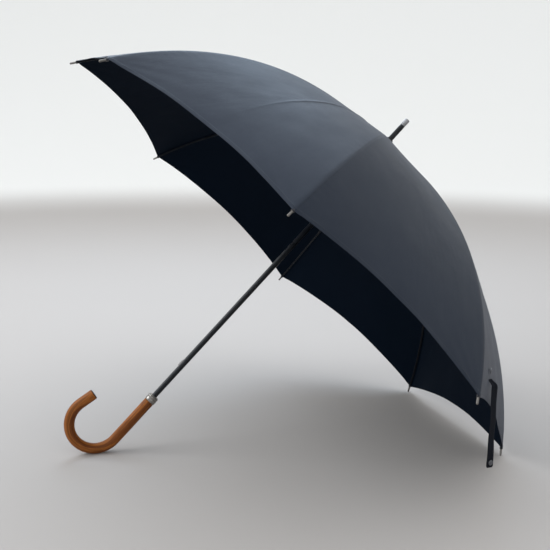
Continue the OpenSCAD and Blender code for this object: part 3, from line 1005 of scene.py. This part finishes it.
class UMBRELLA_OT_crook(bpy.types.Operator):
    """The wooden crook: a straight grip, the bend and a short tail with a rounded cut end"""

    bl_idname = "umbrella.crook"
    bl_label = "Crook"

    def execute(self, context):
        h = sizes("handle")
        chamfer, into_collar, weld = 0.0012, 0.0004, 1e-5
        top = collar_top() - h.collar_length + into_collar
        bend = collar_top() - h.straight
        clear_selection()
        radius = h.crook_radius - chamfer
        bpy.ops.mesh.primitive_circle_add(vertices=64, radius=radius, fill_type="NGON")
        crook = bpy.context.object
        crook.name = crook.data.name = "crook"
        bpy.ops.object.mode_set(mode="EDIT")
        bpy.ops.mesh.select_all(action="SELECT")
        bpy.ops.transform.translate(value=(0, 0, top))
        bpy.ops.mesh.extrude_region_move(TRANSFORM_OT_translate={"value": (0, 0, -chamfer)})
        share = h.crook_radius / radius
        bpy.ops.transform.resize(value=(share, share, 1), center_override=(0, 0, top - chamfer))
        steps = 10
        drop = (top - chamfer - bend) / steps
        for _ in range(steps):
            bpy.ops.mesh.extrude_region_move(TRANSFORM_OT_translate={"value": (0, 0, -drop)})
        centre = Vector((-h.bend_radius, 0, bend))
        bpy.ops.mesh.spin(steps=64, angle=-h.bend_turn, center=centre, axis=(0, 1, 0))
        along = Vector((math.sin(h.bend_turn), 0, math.cos(h.bend_turn))) * -1
        tail_steps = 4
        length = (h.tail - h.end_round) / tail_steps
        for _ in range(tail_steps):
            bpy.ops.mesh.extrude_region_move(TRANSFORM_OT_translate={"value": along * length})
        end = centre + Vector((math.cos(h.bend_turn), 0, -math.sin(h.bend_turn))) * h.bend_radius
        end += along * (h.tail - h.end_round)
        radius = h.crook_radius
        round_steps = 6
        step = math.pi / 2 / round_steps
        for i in range(1, round_steps + 1):
            a = step * i
            push = h.end_round * (math.sin(a) - math.sin(a - step))
            bpy.ops.mesh.extrude_region_move(TRANSFORM_OT_translate={"value": along * push})
            end += along * push
            wide = h.crook_radius - h.end_round * (1 - math.cos(a))
            bpy.ops.transform.resize(value=(wide / radius,) * 3, center_override=end)
            radius = wide
        bpy.ops.mesh.select_all(action="SELECT")
        bpy.ops.mesh.remove_doubles(threshold=weld)
        bpy.ops.mesh.normals_make_consistent(inside=False)
        bpy.ops.object.mode_set(mode="OBJECT")
        bpy.ops.object.shade_smooth_by_angle(angle=math.radians(50))
        self.unbend(crook.data, centre, bend, h)
        place(crook, LAID)
        finish_piece(crook, "umbrella_shaft", "crook_wood", finishes()["wood"])
        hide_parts("crook_handle")
        return {"FINISHED"}

    @staticmethod
    def unbend(mesh, centre, bend, h):
        """Stores where each point would be if the stick were straight, for the grain to follow."""
        stick = mesh.attributes.new("stick", "FLOAT_VECTOR", "POINT")
        tail_from = h.bend_radius * h.bend_turn
        furthest_turn = math.pi * 1.6
        for vertex in mesh.vertices:
            p = vertex.co
            if p.z >= bend and p.x > centre.x:
                straight = Vector((p.x, p.y, bend - p.z))
            else:
                arm = p - centre
                turn = math.atan2(-arm.z, arm.x) % math.tau
                if turn > min(h.bend_turn, furthest_turn):
                    spin = Matrix.Rotation(-h.bend_turn, 3, "Y") @ arm
                    straight = Vector((spin.x - h.bend_radius, p.y, tail_from - spin.z))
                else:
                    straight = Vector((math.hypot(arm.x, arm.z) - h.bend_radius, p.y, h.bend_radius * turn))
            stick.data[vertex.index].vector = straight


class UMBRELLA_OT_collar(bpy.types.Operator):
    """The plated collar between shaft and crook, with a rolled edge and two bands"""

    bl_idname = "umbrella.collar"
    bl_label = "Collar"

    def execute(self, context):
        h = sizes("handle")
        base = collar_top() - h.collar_length
        r = h.collar_radius
        bore = 0.00512
        profile = [
            (bore, 0.0), (r - 0.0007, 0.0), (r - 0.0002, 0.0003), (r, 0.0009), (r, 0.0060),
            (r - 0.0002, 0.0066), (r - 0.0008, 0.0070), (r - 0.0009, 0.0074), (r - 0.0008, 0.0078),
            (r - 0.0002, 0.0081), (r, 0.0086), (r - 0.0001, 0.0108), (r - 0.0005, 0.0114),
            (r - 0.0010, 0.0117), (r - 0.0012, 0.0121), (r - 0.0014, 0.0130), (r - 0.0024, 0.0137),
            (r - 0.0036, 0.0140), (bore, 0.0140), (bore, 0.0)]
        collar = turned("collar", [(radius, base + z) for radius, z in profile], sides=96, smooth=25)
        place(collar, LAID)
        finish_piece(collar, "umbrella_shaft", "collar_metal", finishes()["collar"])
        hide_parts("handle_collar")
        return {"FINISHED"}


class UMBRELLA_OT_ferrule(bpy.types.Operator):
    """The black ferrule and its worn metal cap"""

    bl_idname = "umbrella.ferrule"
    bl_label = "Ferrule"

    def execute(self, context):
        inverse = LAID.inverted()
        spans = {}
        for node in ("ferrule_tube", "ferrule_cap"):
            heights = [(inverse @ v.co).z for v in frame["nodes"][node].data.vertices]
            spans[node] = (min(heights), max(heights))
        cap_low, cap_high = spans["ferrule_tube"][1], spans["ferrule_cap"][1]
        profile = [
            (0.0034, cap_low), (0.0044, cap_low), (0.0047, cap_low + 0.0004), (0.0047, cap_low + 0.0028),
            (0.0044, cap_low + 0.0032), (0.0044, cap_low + 0.0038), (0.0047, cap_low + 0.0042),
            (0.0047, cap_high - 0.0014), (0.0045, cap_high - 0.0008), (0.0041, cap_high - 0.0003),
            (0.0034, cap_high), (0.0030, cap_high), (0.0026, cap_high - 0.0004), (0.0, cap_high - 0.0005)]
        cap = turned("ferrule_cap_shell", profile, sides=64, smooth=30)
        place(cap, LAID)
        finish_piece(cap, "umbrella_shaft", "cap_metal", finishes()["cap"])
        above_washer_middle = 0.0008
        base = (inverse @ box_middle("crown_washer")).z + above_washer_middle
        tube = [
            (0.0040, base), (0.0052, base), (0.00525, base + 0.0005), (0.0050, base + 0.0016),
            (0.0049, base + 0.003), (0.00475, cap_low - 0.006), (0.0048, cap_low - 0.0042),
            (0.00455, cap_low - 0.0036), (0.0046, cap_low - 0.0004), (0.0044, cap_low), (0.0034, cap_low)]
        body = turned("ferrule", tube, sides=64, smooth=30)
        place(body, LAID)
        finish_piece(body, "umbrella_shaft", "ferrule_lacquer", finishes()["ferrule"])
        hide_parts("ferrule_tube")
        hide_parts("ferrule_cap")
        return {"FINISHED"}


# ---------------------------------------------------------------- tie strap


class UMBRELLA_OT_tie_strap(bpy.types.Operator):
    """The strap that ties the closed umbrella, with its press stud, and the stud's socket on the cloth"""

    bl_idname = "umbrella.tie_strap"
    bl_label = "Tie strap"

    def execute(self, context):
        line = RibLine()
        strap = self.strap(line)
        finish_piece(strap, "tie_strap", "canopy_cloth", finishes()["strap"])
        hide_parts("tie_strap")
        sizes("strap").width
        folds_with_rib(strap, line)
        stud = self.stud()
        finish_piece(stud, "tie_strap", "snap_metal", finishes()["snap"])
        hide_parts("strap_snap")
        folds_with_rib(stud, line)
        socket = self.socket()
        finish_piece(socket, "rib_2", "snap_metal", finishes()["snap"])
        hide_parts("strap_socket")
        folds_with_rib(socket, line)
        return {"FINISHED"}

    def strap(self, line):
        s = sizes("strap")
        low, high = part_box("tie_strap")
        middle = (low + high) / 2
        drop = high.z - low.z
        face = Vector(joint("tie_strap_swing")["axis"])
        width = Vector((face.x, face.y, 0)).normalized()
        out = width.cross(Vector((0, 0, 1)))
        root = at_rib(2) @ line.gore(line.row(s.row, s.across), s.across, 1, sizes("canopy").cloth_face)
        if out.dot(Vector((middle.x, middle.y, 0)) - Vector((root.x, root.y, 0))) < 0:
            out = -out
        top = Vector((middle.x, middle.y, high.z))
        rows, cols = 90, 6
        points, uvs = [], []
        for i in range(rows + 1):
            share = i / rows
            fall = share * drop
            lean = (1 - step_in(share, 0.0, 0.075)) ** 1.5
            centre = top.lerp(root, lean)
            centre.z = high.z - fall + 0.0008 * lean
            centre += out * (0.0011 * math.sin(share * 5.2) + 0.0005 * math.sin(share * 17))
            twist = 0.16 * math.sin(share * 3.4) - 0.10 * share
            across = width * math.cos(twist) + out * math.sin(twist)
            pinch = 0.62 + 0.38 * step_in(share, 0.0, 0.09)
            nose = 1 - 0.3 * step_in(share, 0.975, 0.025) ** 2
            for j in range(cols + 1):
                y = (j / cols - 0.5) * s.width * pinch * nose
                cup = 0.0006 * (1 - step_in(share, 0.0, 0.15)) * math.cos(j / cols * math.tau)
                points.append(centre + across * y + out * cup)
                uvs.append((y, fall))
        wide = cols + 1
        faces = [(i * wide + j, i * wide + j + 1, (i + 1) * wide + j + 1, (i + 1) * wide + j)
                 for i in range(rows) for j in range(cols)]
        piece = from_faces("tie_strap_band", points, faces)
        for layer in ("cloth", "edges"):
            uv = piece.data.uv_layers.new(name=layer)
            for loop in piece.data.loops:
                y, fall = uvs[loop.vertex_index]
                edges = (s.width / 2 - abs(y), drop - fall)
                uv.data[loop.index].uv = (y, fall) if layer == "cloth" else edges
        clear_selection()
        piece.select_set(True)
        bpy.context.view_layer.objects.active = piece
        wall = piece.modifiers.new("plies", "SOLIDIFY")
        wall.thickness = s.thickness
        wall.offset = 0
        edge = piece.modifiers.new("edges", "BEVEL")
        edge.width = 0.00025
        edge.segments = 2
        for modifier in ("plies", "edges"):
            bpy.ops.object.modifier_apply(modifier=modifier)
        bpy.ops.object.shade_smooth_by_angle(angle=math.radians(40))
        return piece

    def stud(self):
        r = sizes("strap").snap_radius
        profile = [
            (0, 0), (r - 0.0004, 0), (r, 0.0003), (r, 0.0007), (r - 0.0004, 0.0011), (r - 0.0014, 0.0012),
            (r - 0.0018, 0.0009), (r - 0.0021, 0.0009), (r - 0.0023, 0.0014), (r - 0.0026, 0.0017),
            (0, 0.0018)]
        return self.on_node(turned("press_stud", profile, sides=48), "strap_snap")

    def socket(self):
        r = sizes("strap").snap_radius
        profile = [
            (0, 0), (r - 0.0004, 0), (r, 0.0003), (r, 0.0010), (r - 0.0005, 0.0015), (r - 0.0014, 0.0016),
            (r - 0.0018, 0.0013), (r - 0.0020, 0.0008), (0, 0.0007)]
        return self.on_node(turned("stud_socket", profile, sides=48), "strap_socket")

    @staticmethod
    def on_node(piece, node):
        """Stands a turned piece on the disc of a node, facing the way the disc faces."""
        points = [v.co for v in frame["nodes"][node].data.vertices]
        middle = box_middle(node)
        spread = Matrix(((0,) * 3,) * 3)
        for p in points:
            d = p - middle
            spread += Matrix([[a * b for b in d] for a in d])
        axis = Vector((1, 0, 0))
        flat = spread.inverted()
        for _ in range(30):
            axis = (flat @ axis).normalized()
        if axis.y > 0:
            axis = -axis
        turn = axis.to_track_quat("Z", "Y").to_matrix().to_4x4()
        depth = min((p - middle).dot(axis) for p in points)
        return place(piece, Matrix.Translation(middle + axis * depth) @ turn)


# ---------------------------------------------------------------- the frame's finishes


class UMBRELLA_OT_frame_finishes(bpy.types.Operator):
    """Finishes on the parts of the frame that keep their own meshes"""

    bl_idname = "umbrella.frame_finishes"
    bl_label = "Frame finishes"

    def execute(self, context):
        made = finishes()
        by_name = {
            "shaft": "shaft", "notch": "plastic", "runner": "plastic", "notch_wire": "wire",
            "runner_wire": "wire", "runner_stop": "wire", "top_catch": "wire", "bottom_catch": "wire",
            "handle_pin": "cap", "crown_washer": "ferrule"}
        for k in range(1, RIBS + 1):
            by_name[f"rib_{k}"] = "ribs"
            by_name[f"stretcher_{k}"] = "ribs"
            by_name[f"rib_tip_{k}"] = "tips"
        for node, key in by_name.items():
            piece = frame["nodes"][node]
            piece.data.materials.clear()
            piece.data.materials.append(made[key])
        return {"FINISHED"}


# ---------------------------------------------------------------- stage


def camera_turn(stage):
    return (Matrix.Rotation(-stage.yaw, 4, "Z") @ Matrix.Rotation(math.pi / 2 - stage.pitch, 4, "X")
            @ Matrix.Rotation(stage.roll, 4, "Z"))


def soft_light(name, place_at, aim, width, height, power, colour):
    data = bpy.data.lights.new(name, "AREA")
    data.shape = "RECTANGLE"
    data.size = width
    data.size_y = height
    data.energy = power
    data.color = colour
    light = bpy.data.objects.new(name, data)
    light.location = place_at
    light.rotation_euler = (Vector(aim) - Vector(place_at)).to_track_quat("-Z", "Y").to_euler()
    bpy.context.scene.collection.objects.link(light)


class UMBRELLA_OT_stage(bpy.types.Operator):
    """Plain pale floor, soft studio light and the camera"""

    bl_idname = "umbrella.stage"
    bl_label = "Stage"

    def execute(self, context):
        stage = sizes("stage")
        clear_selection()
        rise, rise_steps = 2.2, 16
        profile = [(0, 0), (stage.floor_radius, 0)]
        profile += [(stage.floor_radius + rise * math.sin(a), rise * (1 - math.cos(a)))
                    for a in (math.pi / 2 * i / rise_steps for i in range(1, rise_steps + 1))]
        floor = turned("floor", profile, sides=128, smooth=60)
        colour = tuple(sizes("colours").floor)
        finish = Finish("floor_paint", colour, Roughness=0.75)
        place_on = finish.object_space()
        height = finish.add("ShaderNodeSeparateXYZ")
        finish.link(place_on, height.inputs["Vector"])
        up = finish.add("ShaderNodeMapRange", interpolation_type="SMOOTHSTEP")
        up.inputs["From Max"].default_value = 0.1
        finish.link(height.outputs["Z"], up.inputs["Value"])
        plain = finish.mix(finish.noise(place_on, 1.6, detail=2), tone(colour, 0.985), tone(colour, 1.01))
        finish.colour(finish.mix(up.outputs["Result"], plain, tuple(sizes("colours").backdrop)))
        floor.data.materials.append(finish.material)
        camera = bpy.data.objects.new("camera", bpy.data.cameras.new("camera"))
        camera.data.lens = stage.lens
        camera.data.sensor_width = 36
        camera.data.clip_start, camera.data.clip_end = 0.05, 60
        camera.matrix_world = Matrix.Translation(stage.camera_place) @ camera_turn(stage)
        context.scene.collection.objects.link(camera)
        context.scene.camera = camera
        middle = sum(cad_bounds, Vector()) / 2
        right, back = camera_turn(stage).to_3x3().col[0], camera_turn(stage).to_3x3().col[2]
        key = middle - right * 2.4 + Vector((0, 0, 2.2)) + back * 0.2
        soft_light("window_light", key, middle, 2.4, 2.0, stage.key_power, (0.93, 0.97, 1.0))
        behind = middle - back * 1.9 - right * 0.1 + Vector((0, 0, 2.1))
        soft_light("back_light", behind, middle, 1.8, 1.2, stage.back_power, (0.62, 0.80, 1.0))
        above = middle - back * 1.6 + Vector((0, 0, 2.6))
        soft_light("backdrop_light", above, middle - back * 3.6, 3.4, 0.8, stage.backdrop_power,
                   (1.0, 0.995, 0.98))
        over = middle + Vector((0, 0, 2.4)) + back * 0.6
        soft_light("ceiling_light", over, middle, 2.6, 2.6, stage.fill_power, (0.95, 0.97, 1.0))
        world = bpy.data.worlds.new("studio")
        world.use_nodes = True
        sky = world.node_tree.nodes["Background"]
        sky.inputs["Color"].default_value = (0.93, 0.95, 0.96, 1)
        sky.inputs["Strength"].default_value = stage.sky
        context.scene.world = world
        context.scene.view_settings.view_transform = "Standard"
        return {"FINISHED"}


# ---------------------------------------------------------------- panel and start


class UMBRELLA_PT_panel(bpy.types.Panel):
    """Lists the umbrella's sizes and the steps that build it"""

    bl_label = "Stick umbrella"
    bl_idname = "UMBRELLA_PT_panel"
    bl_space_type = "VIEW_3D"
    bl_region_type = "UI"
    bl_category = "Umbrella"

    def draw(self, context):
        for group in ("canopy", "handle", "strap", "colours", "stage"):
            box = self.layout.box()
            box.label(text=group.capitalize())
            owner = getattr(context.scene, group)
            for name in owner.__annotations__:
                box.prop(owner, name)
        for operator in STEPS:
            self.layout.operator(operator.bl_idname)


GROUPS = {"canopy": CanopySizes, "handle": HandleSizes, "strap": StrapSizes, "colours": UmbrellaColours,
          "stage": StageSizes}
STEPS = [
    UMBRELLA_OT_stage, UMBRELLA_OT_canopy, UMBRELLA_OT_seam_tapes, UMBRELLA_OT_threads, UMBRELLA_OT_crown,
    UMBRELLA_OT_crook, UMBRELLA_OT_collar, UMBRELLA_OT_ferrule, UMBRELLA_OT_tie_strap,
    UMBRELLA_OT_frame_finishes]


def register():
    for item in (*GROUPS.values(), *STEPS, UMBRELLA_PT_panel):
        bpy.utils.register_class(item)
    for name, group in GROUPS.items():
        setattr(bpy.types.Scene, name, PointerProperty(type=group))


def unregister():
    for name in GROUPS:
        delattr(bpy.types.Scene, name)
    for item in (UMBRELLA_PT_panel, *reversed(STEPS), *reversed(GROUPS.values())):
        bpy.utils.unregister_class(item)


def main():
    register()
    for step in STEPS:
        section, name = step.bl_idname.split(".")
        getattr(getattr(bpy.ops, section), name)()


if __name__ == "__main__":
    main()
